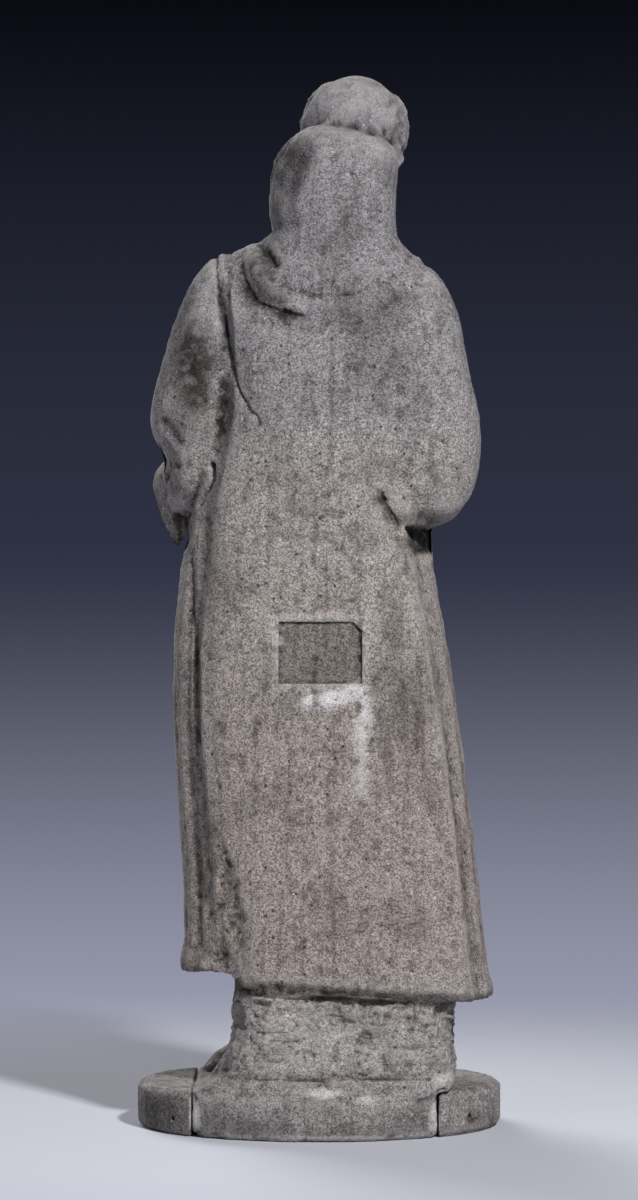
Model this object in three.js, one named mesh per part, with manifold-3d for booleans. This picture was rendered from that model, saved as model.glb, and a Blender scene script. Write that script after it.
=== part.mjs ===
// A hooded friar saint in weathered grey stone, with tunic, scapular and cowl.
// The figure, the rough block that carries its hem and the middle of the plinth are one stone.
// A stone end is fitted at each side of that middle to make up the oval plinth.
// Millimetres, +Z up. The figure faces -Y, so its own left is +X and its back is +Y.
// The origin is the centre of the plinth's underside.
import * as THREE from "three";
import { mergeVertices } from "three/addons/utils/BufferGeometryUtils.js";
import Module from "manifold-3d";

const { clamp, degToRad, lerp, smoothstep } = THREE.MathUtils;
const wasm = await Module();
wasm.setup();

// Driving dimensions. A turn is an angle in degrees round the figure, 0 at its back and positive to its left.
const STONE = { color: 0x8d8983, roughness: 0.95, metalness: 0 };
const PLINTH = { halfWidth: 145, halfDepth: 115, thickness: 35, rim: 4 };
const JOINT = { left: 99, leftGap: 0.6, right: -91.5, rightGap: 1.6 };
const LIP = { rise: 12, inset: 12, front: 30 };
const HEM = { height: 112, tilt: 0.07, lift: 6, corner: 50, chamfer: 6, tuck: 0.98, fade: 60 };
const ROBE_TOP = 712;
const PANEL = { raise: 5.5, left: 45, right: -51, front: 141, edge: 3 };
const FOLD_WIDTH = 5;
const CUFF = { wall: 6, from: 0.72, past: 0.5 };
const CREASE_WIDTH = 7;
const HOOD = { base: 640, top: 796, wall: 12, hollowBase: 690, slope: 0.12, crest: 30 };
const THROAT = { y: -75, z: 682 };
const FAR = 150;
const VALLEY = { low: 738, high: 782, depth: 8, width: 8 };
const RECESS = { width: 65, height: 48, depth: 3, corner: 7, x: -1, z: 377, reach: 20 };
const REST_GAP = 0.4;
const HOLE_DEPTH = 12;
const LEFT_HOLE = { x: 115, z: 13, radius: 2 };
const RIGHT_HOLE = { x: -119, z: 13, radius: 3.2 };
const HEAD = { height: 110, halfWidth: 39, halfDepth: 48, x: -29, y: -23, z: 797 };
const HEAD_TURN = { pitch: 11, roll: -7, yaw: -10 };
const HAIR = { thickness: 4, lock: 1.8, locks: 13 };
const FINGER = { radius: 4.6, spacing: 8.2 };
const FOOT = { halfWidth: 16, halfLength: 36, height: 24, toe: 5, ankle: 15 };

// A smooth value through [position, value] knots, with no overshoot between them.
function through(...knots) {
  const last = knots.length - 1;
  const slopes = knots.slice(1).map((knot, i) => (knot[1] - knots[i][1]) / (knot[0] - knots[i][0]));
  const tangent = (i) => {
    if (i === 0 || i === last) {
      return slopes[Math.min(i, last - 1)];
    }
    const product = slopes[i - 1] * slopes[i];
    return product > 0 ? (2 * product) / (slopes[i - 1] + slopes[i]) : 0;
  };
  return (position) => {
    const at = clamp(position, knots[0][0], knots[last][0]);
    const i = Math.max(0, knots.findIndex((knot) => knot[0] >= at) - 1);
    const span = knots[i + 1][0] - knots[i][0];
    const t = (at - knots[i][0]) / span;
    const ease = t * t * (3 - 2 * t);
    const leave = t * (1 - t) * (1 - t) * span * tangent(i);
    const arrive = t * t * (t - 1) * span * tangent(i + 1);
    return lerp(knots[i][1], knots[i + 1][1], ease) + leave + arrive;
  };
}

// 1 at the middle of a band, fading to 0 over its half width.
function bump(distance, halfWidth) {
  return Math.exp(-((distance / halfWidth) ** 2));
}

// 1 between two positions, easing to 0 over soft at both ends.
function between(position, low, high, soft) {
  return smoothstep(position, low - soft, low + soft) * (1 - smoothstep(position, high - soft, high + soft));
}

// Evenly spaced values from low to high.
function spread(low, high, steps) {
  return Array.from({ length: steps + 1 }, (_, i) => lerp(low, high, i / steps));
}

// A closed skin over a stack of rings of points, with a fan at each end unless the stack closes on itself.
function skin(rings, closed = false) {
  const count = rings[0].length;
  const points = rings.flat();
  const faces = [];
  const layers = closed ? rings.length : rings.length - 1;
  for (let i = 0; i < layers; i++) {
    const lower = i * count;
    const upper = ((i + 1) % rings.length) * count;
    for (let j = 0; j < count; j++) {
      const k = (j + 1) % count;
      faces.push(lower + j, lower + k, upper + k, lower + j, upper + k, upper + j);
    }
  }
  if (!closed) {
    [rings[0], rings.at(-1)].forEach((ring, end) => {
      const middle = ring.reduce((sum, p) => sum.add(p), new THREE.Vector3()).divideScalar(count);
      const first = end * (rings.length - 1) * count;
      const hub = points.push(middle) - 1;
      for (let j = 0; j < count; j++) {
        const k = (j + 1) % count;
        faces.push(hub, first + (end ? j : k), first + (end ? k : j));
      }
    });
  }
  return new THREE.BufferGeometry().setFromPoints(points).setIndex(faces);
}

// A closed geometry as a solid that can be joined and cut.
function solid(geometry) {
  const bare = geometry.clone();
  bare.deleteAttribute("normal");
  bare.deleteAttribute("uv");
  const merged = mergeVertices(bare, 1e-3);
  return new wasm.Manifold(
    new wasm.Mesh({
      numProp: 3,
      vertProperties: new Float32Array(merged.attributes.position.array),
      triVerts: new Uint32Array(merged.index.array),
    }),
  );
}

// A solid as a named stone mesh.
function stone(name, shape) {
  const { vertProperties, triVerts } = shape.getMesh();
  const geometry = new THREE.BufferGeometry();
  geometry.setAttribute("position", new THREE.BufferAttribute(vertProperties, 3));
  geometry.setIndex(new THREE.BufferAttribute(triVerts, 1));
  geometry.computeVertexNormals();
  const mesh = new THREE.Mesh(geometry, new THREE.MeshStandardMaterial(STONE));
  mesh.name = name;
  return mesh;
}

// A box between two x values, past the plinth on its other sides, from below it up to height.
function slice(low, high, height) {
  const deep = 3 * PLINTH.halfDepth;
  const tall = 2 * height;
  return solid(new THREE.BoxGeometry(high - low, deep, tall).translate((low + high) / 2, 0, 0));
}

// An ellipsoid with its own radius along each axis.
function ellipsoid([x, y, z], [rx, ry, rz], around, over) {
  return solid(new THREE.SphereGeometry(1, around, over).scale(rx, ry, rz).translate(x, y, z));
}

// A point of a standing form at a turn and a height. Its level outline lies between four sides,
// rounded by the power square, and relief moves the point outwards.
function formPoint({ sides, square, relief = () => 0 }, turn, z) {
  const [left, right, back, front] = [sides.left(z), sides.right(z), sides.back(z), sides.front(z)];
  const rounded = (value) => Math.sign(value) * Math.abs(value) ** (2 / square);
  const across = (rounded(Math.sin(degToRad(turn))) * (left - right)) / 2;
  const along = (rounded(Math.cos(degToRad(turn))) * (back - front)) / 2;
  const spoke = new THREE.Vector3(across, along, 0);
  const point = new THREE.Vector3((left + right) / 2, (back + front) / 2, z).add(spoke);
  return point.addScaledVector(spoke.normalize(), relief(point, turn));
}

// A standing form as a skin over its levels. settle moves each point last.
function column(form) {
  const { levels, count, settle = (p) => p } = form;
  const turns = spread(180, -180, count).slice(0, count);
  return skin(levels.map((z) => turns.map((turn) => settle(formPoint(form, turn, z)))));
}

// A sleeve or roll along a path: a rounded section with its width, rise and drop at each share of the way.
// Its lower half narrows downwards by the share pinch.
function tube({ path, steps, count, width, rise, drop, pinch = () => 0, from = 0, closed = false }) {
  const up = new THREE.Vector3(0, 0, 1);
  const rings = Array.from({ length: closed ? steps : steps + 1 }, (_, i) => {
    const t = lerp(from, 1, i / steps);
    const centre = path.getPoint(t);
    const ahead = path.getTangent(t);
    const side = new THREE.Vector3().crossVectors(ahead, up).normalize();
    const over = new THREE.Vector3().crossVectors(side, ahead);
    return Array.from({ length: count }, (_, j) => {
      const turn = (-2 * Math.PI * j) / count;
      const level = Math.sin(turn);
      const height = level > 0 ? rise(t) : drop(t);
      const narrow = level > 0 ? 1 : 1 + pinch(t) * level;
      const point = centre.clone().addScaledVector(side, Math.cos(turn) * narrow * width(t));
      return point.addScaledVector(over, level * height);
    });
  });
  return skin(rings, closed);
}

// A smooth path through a row of [x, y, z] points.
function route(...points) {
  return new THREE.CatmullRomCurve3(points.map((p) => new THREE.Vector3(...p)));
}

// A round-ended finger of a hand, lying along +X from a [x, y, z] root and raised by lift degrees.
function finger([x, y, z], length, lift) {
  const rod = new THREE.CapsuleGeometry(FINGER.radius, length, 1, 5).rotateZ(degToRad(90));
  return solid(rod.translate(length / 2, 0, 0).rotateY(degToRad(-lift)).translate(x, y, z));
}

// The tunic with the scapular's back and front panels standing proud of it, and the folds of its sides.
const FOLDS = [
  { turn: 48, depth: 4, top: 560 },
  { turn: 60, depth: 5, top: 500 },
  { turn: 78, depth: 6, top: 460 },
  { turn: 96, depth: 7, top: 470 },
  { turn: 114, depth: 6, top: 420 },
  { turn: 132, depth: 7, top: 480 },
  { turn: -60, depth: 4, top: 440 },
  { turn: -78, depth: 5, top: 430 },
  { turn: -96, depth: 6, top: 460 },
  { turn: -114, depth: 7, top: 470 },
  { turn: -132, depth: 6, top: 480 },
  { turn: 162, depth: 3, top: 330 },
  { turn: -168, depth: 3, top: 360 },
];

function robeRelief(point, turn) {
  let relief = 0;
  for (const fold of FOLDS) {
    const fade = 1 - smoothstep(point.z, fold.top - 140, fold.top);
    relief -= fold.depth * fade * bump(turn - fold.turn, FOLD_WIDTH);
  }
  const back = between(turn, PANEL.right, PANEL.left, PANEL.edge);
  const front = smoothstep(Math.abs(turn), PANEL.front - PANEL.edge, PANEL.front + PANEL.edge);
  return relief + PANEL.raise * (back + front);
}

// The hem slopes from the figure's left, where its corner lifts, down to its right.
// Its lower edge is tucked in.
function settleHem(p) {
  if (p.z === HEM.height) {
    p.multiply(new THREE.Vector3(HEM.tuck, HEM.tuck, 1));
  }
  const raised = HEM.tilt * p.x + HEM.lift * smoothstep(p.x, HEM.corner, 2 * HEM.corner);
  p.z += raised * (1 - smoothstep(p.z, HEM.height, HEM.height + HEM.fade));
  return p;
}

const ROBE = {
  levels: [HEM.height, HEM.height + HEM.chamfer, ...spread(145, 500, 6), 560, 620, 648, 668, 684, 696,
    ROBE_TOP],
  sides: {
    left: through([100, 112], [130, 109], [220, 111], [306, 118], [370, 118], [418, 114], [486, 104],
      [520, 94], [560, 86], [610, 84], [655, 88], [684, 84], [692, 78], [698, 62], [704, 44], [712, 34]),
    right: through([100, -141], [194, -129], [258, -121], [338, -111], [410, -99], [462, -88], [520, -90],
      [570, -100], [640, -100], [672, -93], [690, -80], [703, -65], [712, -56]),
    back: through([100, 94], [220, 90], [306, 86], [380, 81], [462, 72], [540, 67], [610, 65], [650, 57],
      [668, 49], [684, 38], [698, 24], [712, 14]),
    front: through([100, -90], [220, -82], [306, -76], [400, -69], [480, -64], [560, -62], [620, -59],
      [655, -49], [684, -31], [698, -20], [712, -14]),
  },
  square: 2.9,
  count: 60,
  relief: robeRelief,
  settle: settleHem,
};

// What the broken lower corner of the back panel has lost: all that lies outside the plane of the break.
function brokenCorner() {
  const corners = [[86, 76, 240], [48, 96, 106], [84, 70, 108]];
  const [top, inner, outer] = corners.map((p) => new THREE.Vector3(...p));
  const along = top.clone().sub(inner).normalize();
  const out = along.clone().cross(outer.clone().sub(inner)).normalize();
  const across = along.clone().cross(out);
  const waste = new THREE.BoxGeometry(2 * FAR, 2 * FAR, FAR).translate(0, 0, FAR / 2);
  return solid(waste.applyMatrix4(new THREE.Matrix4().makeBasis(across, along, out).setPosition(inner)));
}

// Each upper arm hangs from the shoulder, with slanting creases in the loose sleeve above the elbow.
function creases(heights, lean, depth) {
  return (point, turn) => {
    const level = point.z - lean * Math.sin(degToRad(turn));
    return -depth * heights.reduce((sum, height) => sum + bump(level - height, CREASE_WIDTH), 0);
  };
}

const LEFT_UPPER_ARM = {
  levels: [488, 495, ...spread(508, 668, 7), 682, 694],
  sides: {
    left: through([488, 104], [496, 115], [515, 121], [531, 124], [545, 133], [558, 137], [574, 135],
      [598, 128], [626, 120], [650, 112], [670, 103], [686, 91], [694, 80]),
    right: through([488, 100], [500, 93], [514, 84], [530, 74], [546, 68], [600, 62], [640, 66], [694, 72]),
    back: through([488, 12], [500, 32], [520, 46], [560, 54], [620, 51], [670, 38], [694, 20]),
    front: through([488, 4], [500, -8], [520, -22], [560, -30], [620, -26], [670, -18], [694, -8]),
  },
  square: 2.2,
  count: 16,
  relief: creases([531, 566], -22, 3),
};

const RIGHT_UPPER_ARM = {
  levels: [475, 481, 490, ...spread(504, 662, 7), 678, 690],
  sides: {
    left: through([475, -84], [480, -72], [490, -60], [505, -42], [530, -26], [690, -20]),
    right: through([475, -88], [480, -105], [488, -115], [502, -123], [522, -129], [542, -130], [562, -129],
      [582, -125], [602, -119], [626, -116], [654, -109], [676, -97], [690, -78]),
    back: through([475, 30], [482, 46], [500, 58], [540, 66], [600, 67], [650, 58], [676, 44], [690, 28]),
    front: through([475, 0], [490, -20], [520, -34], [580, -32], [650, -20], [690, -5]),
  },
  square: 2.4,
  count: 18,
  relief: creases([520], 30, 2),
};

// A forearm's sleeve, hollowed a little at the cuff.
function forearm(form) {
  const thinner = (size) => (t) => size(t) - CUFF.wall;
  const { width, rise, drop } = form;
  const sizes = { width: thinner(width), rise: thinner(rise), drop: thinner(drop) };
  const inside = { ...form, ...sizes, from: CUFF.from, steps: 2 };
  const mouth = form.path.getTangent(1).multiplyScalar(CUFF.past);
  const hollow = solid(tube(inside)).translate([mouth.x, mouth.y, mouth.z]);
  return solid(tube(form)).subtract(hollow);
}

// Each forearm comes forward in a wide cuff whose lower tip hangs.
const LEFT_FOREARM = {
  path: route([104, 16, 521], [109, -26, 516], [117, -70, 511]),
  steps: 6,
  count: 12,
  width: through([0, 20], [1, 20]),
  rise: through([0, 22], [1, 24]),
  drop: through([0, 24], [0.3, 19], [0.6, 28], [1, 52]),
  pinch: through([0, 0], [1, 0.5]),
};
const RIGHT_FOREARM = {
  path: route([-96, 2, 512], [-88, -52, 526], [-50, -84, 558]),
  steps: 8,
  count: 12,
  width: through([0, 26], [0.6, 25], [1, 21]),
  rise: through([0, 28], [1, 27]),
  drop: through([0, 30], [0.6, 38], [1, 44]),
  pinch: through([0, 0], [1, 0.4]),
};

// A loosely closed left hand: wrist and palm, four curled fingers across its front and the thumb over them.
function leftHand() {
  const parts = [
    ellipsoid([118, -84, 517], [14, 21, 17], 10, 6),
    ellipsoid([115, -66, 515], [11, 22, 13], 8, 5),
  ];
  for (let i = 0; i < 4; i++) {
    const drop = FINGER.spacing * (i - 1.5);
    parts.push(finger([109, -99 + i, 517 - drop], 17, 0));
  }
  const thumb = finger([0, 0, 0], 22, 20).rotate([0, 0, -55]).translate([102, -78, 528]);
  return wasm.Manifold.union([...parts, thumb]);
}

// The right hand lies flat on the breast, its fingers together and pointing to the figure's left.
function rightHand() {
  const parts = [
    ellipsoid([0, 0, 0], [24, 9, 19], 10, 6),
    ellipsoid([-26, 2, -3], [30, 11, 13], 8, 5),
  ];
  [26, 31, 29, 22].forEach((length, i) => {
    const rise = FINGER.spacing * (1.5 - i);
    parts.push(finger([15, 1, rise], length, rise / 3));
  });
  parts.push(finger([-4, -2, 14], 26, 38));
  return wasm.Manifold.union(parts).rotate([0, -30, 2]).translate([-22, -72, 580]);
}

// The hood stands behind the head and wraps the neck down to the breast.
// Its open rim runs from the top behind the head down to the throat, and it is hollow inside.
function hood() {
  const { base, top, wall, hollowBase, slope, crest } = HOOD;
  const sides = {
    left: through([640, 48], [660, 52], [676, 54], [690, 53], [701, 44], [712, 37], [738, 42], [760, 40],
      [783, 28], [796, 8]),
    right: through([640, -72], [668, -76], [686, -77], [700, -68], [712, -61], [750, -63], [772, -64],
      [786, -60], [796, -38]),
    back: through([640, 58], [660, 61], [676, 60], [700, 53], [745, 51], [775, 46], [790, 37], [796, 24]),
    front: through([640, -48], [668, -50], [690, -50], [700, -48], [740, -36], [796, -20]),
  };
  const inset = {
    left: (z) => sides.left(z) - wall,
    right: (z) => sides.right(z) + wall,
    back: (z) => sides.back(z) - wall,
    front: (z) => sides.front(z) + wall,
  };
  const valley = through([VALLEY.low, 25], [VALLEY.high, 13]);
  const relief = (p) => {
    const shown = p.y > 0 ? between(p.z, VALLEY.low, VALLEY.high, VALLEY.width) : 0;
    return -VALLEY.depth * shown * bump(p.x - valley(p.z), VALLEY.width);
  };
  const settle = (p) => {
    p.z -= slope * Math.max(0, -p.x) * smoothstep(p.z, top - crest, top);
    return p;
  };
  const levels = [base, 664, 678, 690, 700, 712, 730, 750, 770, 782, 790, top];
  const outer = solid(column({ levels, sides, square: 2.3, count: 28, relief, settle }));
  const hollowLevels = [...spread(hollowBase, 770, 3), top + 1];
  const inner = solid(column({ levels: hollowLevels, sides: inset, square: 2.2, count: 16 }));
  const rim = new THREE.Shape();
  rim.moveTo(THROAT.y, THROAT.z);
  rim.quadraticCurveTo(-8, THROAT.z + 23, 14, top + 5);
  rim.lineTo(-FAR, top + 5);
  rim.lineTo(-FAR, THROAT.z);
  const opening = new THREE.ExtrudeGeometry(rim, { depth: 2 * FAR, bevelEnabled: false, curveSegments: 8 });
  opening.rotateX(degToRad(90)).rotateZ(degToRad(90)).translate(-FAR, 0, 0);
  return outer.subtract(inner).subtract(solid(opening));
}

// The cowl's rolled edge lies round the shoulders, thickest on the left one.
function collar() {
  const path = route([-8, 60, 647], [22, 58, 651], [40, 51, 660], [49, 41, 673], [51, 26, 686], [46, 4, 691],
    [40, -27, 683], [18, -46, 668], [-10, -52, 660], [-42, -45, 666], [-66, -26, 680], [-75, 2, 686],
    [-75, 26, 678], [-64, 45, 661], [-42, 56, 652]);
  path.closed = true;
  const size = through([0, 6], [0.13, 8], [0.3, 13], [0.45, 11], [0.6, 10], [0.8, 9], [1, 6]);
  return solid(tube({ path, steps: 20, count: 6, width: size, rise: size, drop: size, closed: true }));
}

// The head, about its own centre and facing -Y. Places are shares of its height below the crown.
const CROWN = 0.39 * HEAD.height;
const down = (share) => CROWN - share * HEAD.height;
const FACE = {
  brow: down(0.43),
  eyes: down(0.5),
  noseTip: down(0.66),
  noseBase: down(0.69),
  mouth: down(0.79),
  chin: down(0.95),
  eyeSide: 14,
  cheekSide: 21,
};

// How far the features stand out of the smooth face at a point x across and z up.
function faceRelief(x, z) {
  const side = Math.abs(x);
  const bridge = lerp(13, 5, clamp((z - FACE.noseTip) / (FACE.brow - FACE.noseTip), 0, 1));
  const nose = between(z, FACE.noseBase, FACE.brow, 4) * bridge * bump(side, 5);
  const brow = 3 * bump(z - FACE.brow, 5) * (1 - smoothstep(side, 20, 30));
  const socket = -6 * bump(Math.hypot((side - FACE.eyeSide) / 1.4, z - FACE.eyes), 6);
  const lid = 3.4 * bump(Math.hypot((side - FACE.eyeSide) / 1.6, z - FACE.eyes), 3.4);
  const cheek = 2.2 * bump(Math.hypot(side - FACE.cheekSide, z - FACE.noseTip), 10);
  const lips = (3.2 * bump(z - FACE.mouth, 5.5) - 2 * bump(z - FACE.mouth, 1.6)) * bump(side, 11);
  const chin = 4 * bump(Math.hypot(side / 1.3, z - FACE.chin), 8);
  return nose + brow + socket + lid + cheek + lips + chin;
}

// A ring of short locks leaves the crown bare and the face open.
function hairRelief(direction, z) {
  const turn = Math.atan2(direction.x, direction.y);
  const frontness = smoothstep(-direction.y, 0.35, 0.7);
  const lower = lerp(down(0.62), down(0.25), frontness);
  const cover = between(z, lower, down(0.13), 3);
  const wave = HAIR.lock * Math.cos(HAIR.locks * turn + 0.16 * z) * Math.cos(0.35 * z);
  return cover * (HAIR.thickness + wave);
}

// A point of the head in a direction from its centre: a skull narrowing to the jaw, with hair and features.
function headPoint(direction) {
  const below = Math.max(0, -direction.z);
  const taper = 1 - 0.34 * below ** 1.6;
  const nape = direction.y > 0 ? 1 - 0.5 * below : 1 - 0.2 * below ** 3;
  const point = new THREE.Vector3(
    direction.x * HEAD.halfWidth * taper,
    direction.y * HEAD.halfDepth * nape,
    direction.z * (direction.z > 0 ? CROWN : HEAD.height - CROWN),
  );
  const facing = smoothstep(-direction.y, 0.15, 0.5);
  const out = facing * faceRelief(point.x, point.z) + hairRelief(direction, point.z);
  const way = new THREE.Vector3(direction.x, direction.y, 0.4 * direction.z).normalize();
  return point.addScaledVector(way, out);
}

// The head's rings run from under the chin to the crown, with their points closer together on the face.
function head() {
  const count = 28;
  const crowding = 0.45;
  const rings = spread(0.04 * Math.PI, 0.96 * Math.PI, 22).map((polar) =>
    Array.from({ length: count }, (_, j) => {
      const even = (-2 * Math.PI * j) / count;
      const turn = even + crowding * Math.sin(even);
      const level = Math.sin(polar);
      return headPoint(new THREE.Vector3(level * Math.sin(turn), level * Math.cos(turn), -Math.cos(polar)));
    }),
  );
  const ears = [-1, 1].map((side) => ellipsoid([side * 38, 4, down(0.57)], [5, 8, 13], 8, 6));
  const { pitch, roll, yaw } = HEAD_TURN;
  const turned = wasm.Manifold.union([solid(skin(rings)), ...ears]).rotate([pitch, roll, yaw]);
  const girth = through([0, 30], [1, 26]);
  const neck = tube({
    path: route([-10, -4, 668], [-16, -8, 715], [-26, -16, 760]),
    steps: 4,
    count: 16,
    width: girth,
    rise: girth,
    drop: girth,
  });
  return turned.translate([HEAD.x, HEAD.y, HEAD.z]).add(solid(neck));
}

// A bare foot under the front hem, its ankle rising into the robe and its toes in a row.
function foot(x, y, turn) {
  const { halfWidth, halfLength, height, toe, ankle } = FOOT;
  const parts = [ellipsoid([0, 0, 0], [halfWidth, halfLength, height], 12, 6)];
  for (let i = 0; i < 5; i++) {
    const across = (i / 4 - 0.5) * 1.5 * halfWidth;
    const size = toe * (1.15 - 0.1 * i);
    parts.push(ellipsoid([across, 3 * i - halfLength - 2, size / 2], [size, 2 * size, size], 5, 4));
  }
  const shin = new THREE.CylinderGeometry(ankle + 3, ankle, 4 * height, 8).rotateX(degToRad(90));
  parts.push(solid(shin.translate(0, 14, 2 * height)));
  const flip = turn < 0 ? [-1, 1, 1] : [1, 1, 1];
  const whole = wasm.Manifold.union(parts).scale(flip).rotate([0, 0, turn]);
  return whole.translate([x, y, PLINTH.thickness + 1]);
}

// The rough support block that stands under the hem, flaring to the plinth.
const SUPPORT_BLOCK = {
  levels: [33, 40, 47, 58, 75, 96, 118],
  sides: {
    left: through([33, 94], [40, 88], [52, 79], [75, 70], [118, 66]),
    right: through([33, -104], [40, -108], [118, -107]),
    back: through([33, 104], [47, 99], [70, 95], [118, 92]),
    front: through([33, -34], [118, -44]),
  },
  square: 5,
  count: 20,
};

// The oval plinth, rounded at its rim.
function plinth() {
  const { halfWidth, halfDepth, thickness, rim } = PLINTH;
  const oval = new THREE.Shape().absellipse(0, 0, halfWidth - rim, halfDepth - rim, 0, 2 * Math.PI);
  const slab = new THREE.ExtrudeGeometry(oval, {
    depth: thickness - 2 * rim,
    bevelThickness: rim,
    bevelSize: rim,
    bevelSegments: 1,
    curveSegments: 20,
  });
  return solid(slab.translate(0, 0, rim));
}

// The sloping lip that joins the plinth's middle to the support block at the back.
function lip() {
  const { halfWidth, halfDepth, thickness, rim } = PLINTH;
  const scale = (halfDepth - LIP.inset) / halfDepth;
  const slope = new THREE.CylinderGeometry(scale, 1, LIP.rise + rim, 36).rotateX(degToRad(90));
  slope.scale(halfWidth - 1, halfDepth - 1, 1).translate(0, 0, thickness + (LIP.rise - rim) / 2);
  const reach = halfDepth - LIP.front;
  const room = new THREE.BoxGeometry(JOINT.left - JOINT.right, reach, 4 * thickness);
  room.translate((JOINT.left + JOINT.right) / 2, LIP.front + reach / 2, 0);
  return solid(slope).intersect(solid(room));
}

// A shallow squared recess in the middle of the back, one upper corner cut off, its floor along the back.
function recess() {
  const { width, height, depth, corner, x, z, reach } = RECESS;
  const outline = new THREE.Shape([
    new THREE.Vector2(-width / 2 + corner, height / 2),
    new THREE.Vector2(-width / 2, height / 2 - corner),
    new THREE.Vector2(-width / 2, -height / 2),
    new THREE.Vector2(width / 2, -height / 2),
    new THREE.Vector2(width / 2, height / 2),
  ]);
  const pocket = new THREE.ExtrudeGeometry(outline, { depth: reach, bevelEnabled: false });
  pocket.rotateX(degToRad(90)).translate(0, reach, 0);
  const above = formPoint(ROBE, 0, z + height / 2).y;
  const below = formPoint(ROBE, 0, z - height / 2).y;
  const floor = (above + below) / 2 - depth;
  return solid(pocket.rotateX(-Math.atan2(below - above, height)).translate(x, floor, z));
}

// A dowel hole bored square into the plinth's rim.
function dowelHole({ x, z, radius }) {
  const { halfWidth, halfDepth } = PLINTH;
  const y = halfDepth * Math.sqrt(1 - (x / halfWidth) ** 2);
  const out = new THREE.Vector3(x / halfWidth ** 2, y / halfDepth ** 2, 0).normalize();
  const bore = new THREE.CylinderGeometry(radius, radius, 2 * HOLE_DEPTH, 12);
  return solid(bore.rotateZ(-Math.atan2(out.x, out.y)).translate(x, y, z));
}

const farSide = 2 * PLINTH.halfWidth;
const overPlinth = PLINTH.thickness + 1;
const middle = plinth().intersect(slice(JOINT.right, JOINT.left, overPlinth));
const leftEnd = plinth()
  .intersect(slice(JOINT.left + JOINT.leftGap, farSide, overPlinth))
  .subtract(dowelHole(LEFT_HOLE));
const rightEnd = plinth()
  .intersect(slice(-farSide, JOINT.right - JOINT.rightGap, overPlinth))
  .subtract(dowelHole(RIGHT_HOLE));
const overRightEnd = slice(-farSide, JOINT.right, PLINTH.thickness + REST_GAP);
const overLeftEnd = slice(JOINT.left, farSide, PLINTH.thickness + REST_GAP);
const figure = wasm.Manifold.union([
  middle,
  lip(),
  solid(column(SUPPORT_BLOCK)).subtract(overRightEnd),
  foot(62, -45, 50).subtract(overLeftEnd),
  foot(-44, -52, -12),
  solid(column(ROBE)).subtract(brokenCorner()),
  solid(column(LEFT_UPPER_ARM)),
  forearm(LEFT_FOREARM),
  leftHand(),
  solid(column(RIGHT_UPPER_ARM)),
  forearm(RIGHT_FOREARM),
  rightHand(),
  collar(),
  hood(),
  head(),
]).subtract(recess());

const statue = new THREE.Group();
statue.name = "saint_statue";
statue.add(stone("figure", figure));
statue.add(stone("plinth_left_end", leftEnd));
statue.add(stone("plinth_right_end", rightEnd));

export default statue;
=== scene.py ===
import math

import bpy
import numpy as np
from mathutils import Euler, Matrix, Vector, kdtree, noise


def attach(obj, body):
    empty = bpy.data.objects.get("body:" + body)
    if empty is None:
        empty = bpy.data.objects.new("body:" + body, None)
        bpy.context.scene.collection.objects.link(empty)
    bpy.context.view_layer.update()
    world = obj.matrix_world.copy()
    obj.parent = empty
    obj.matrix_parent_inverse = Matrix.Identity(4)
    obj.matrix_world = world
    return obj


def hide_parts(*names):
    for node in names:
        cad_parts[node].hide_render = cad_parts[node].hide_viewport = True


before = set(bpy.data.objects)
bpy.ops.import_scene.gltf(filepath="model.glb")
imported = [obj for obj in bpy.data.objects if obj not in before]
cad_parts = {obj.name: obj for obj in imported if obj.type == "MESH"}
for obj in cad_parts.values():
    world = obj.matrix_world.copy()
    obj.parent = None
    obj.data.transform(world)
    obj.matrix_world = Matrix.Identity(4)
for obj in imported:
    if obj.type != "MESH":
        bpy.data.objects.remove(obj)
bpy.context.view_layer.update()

bl_info = {
    "name": "Saint statue in weathered stone",
    "version": (1, 0, 0),
    "blender": (4, 5, 0),
    "location": "View3D > Sidebar > Statue",
    "description": "Carves the statue's three stones over their solids and sets them on a studio floor",
    "category": "Object",
}

MM = 0.001
SEED = 7

# Places are in millimetres in the statue's frame. It faces -Y, its own left is +X and its back is +Y.
HEAD_CENTRE = (-29, -23, 797)
HEAD_TURN = (11, -7, -10)
# Heights in the head's own frame, and how far the eyes stand from its middle.
FACE = {"brow": -4, "eyes": -12, "nose": -32, "mouth": -44, "chin": -58, "eye_side": 14}
FACE_REACH = 85
LEFT_HAND = (118, -84, 517)
RIGHT_HAND = (-8, -74, 588)
# Heights of the plinth and of the lip on it, and where its two joints lie across it.
PLINTH_TOP = 35
LIP_TOP = 47
JOINTS = (99, -91.5)
# How deep the chips in the edges go, and the number of pits with their least and largest radius.
CHIP_DEPTH = 2.4
PIT_COUNT = 90
PIT_RADIUS = (1.6, 3.4)

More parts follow.
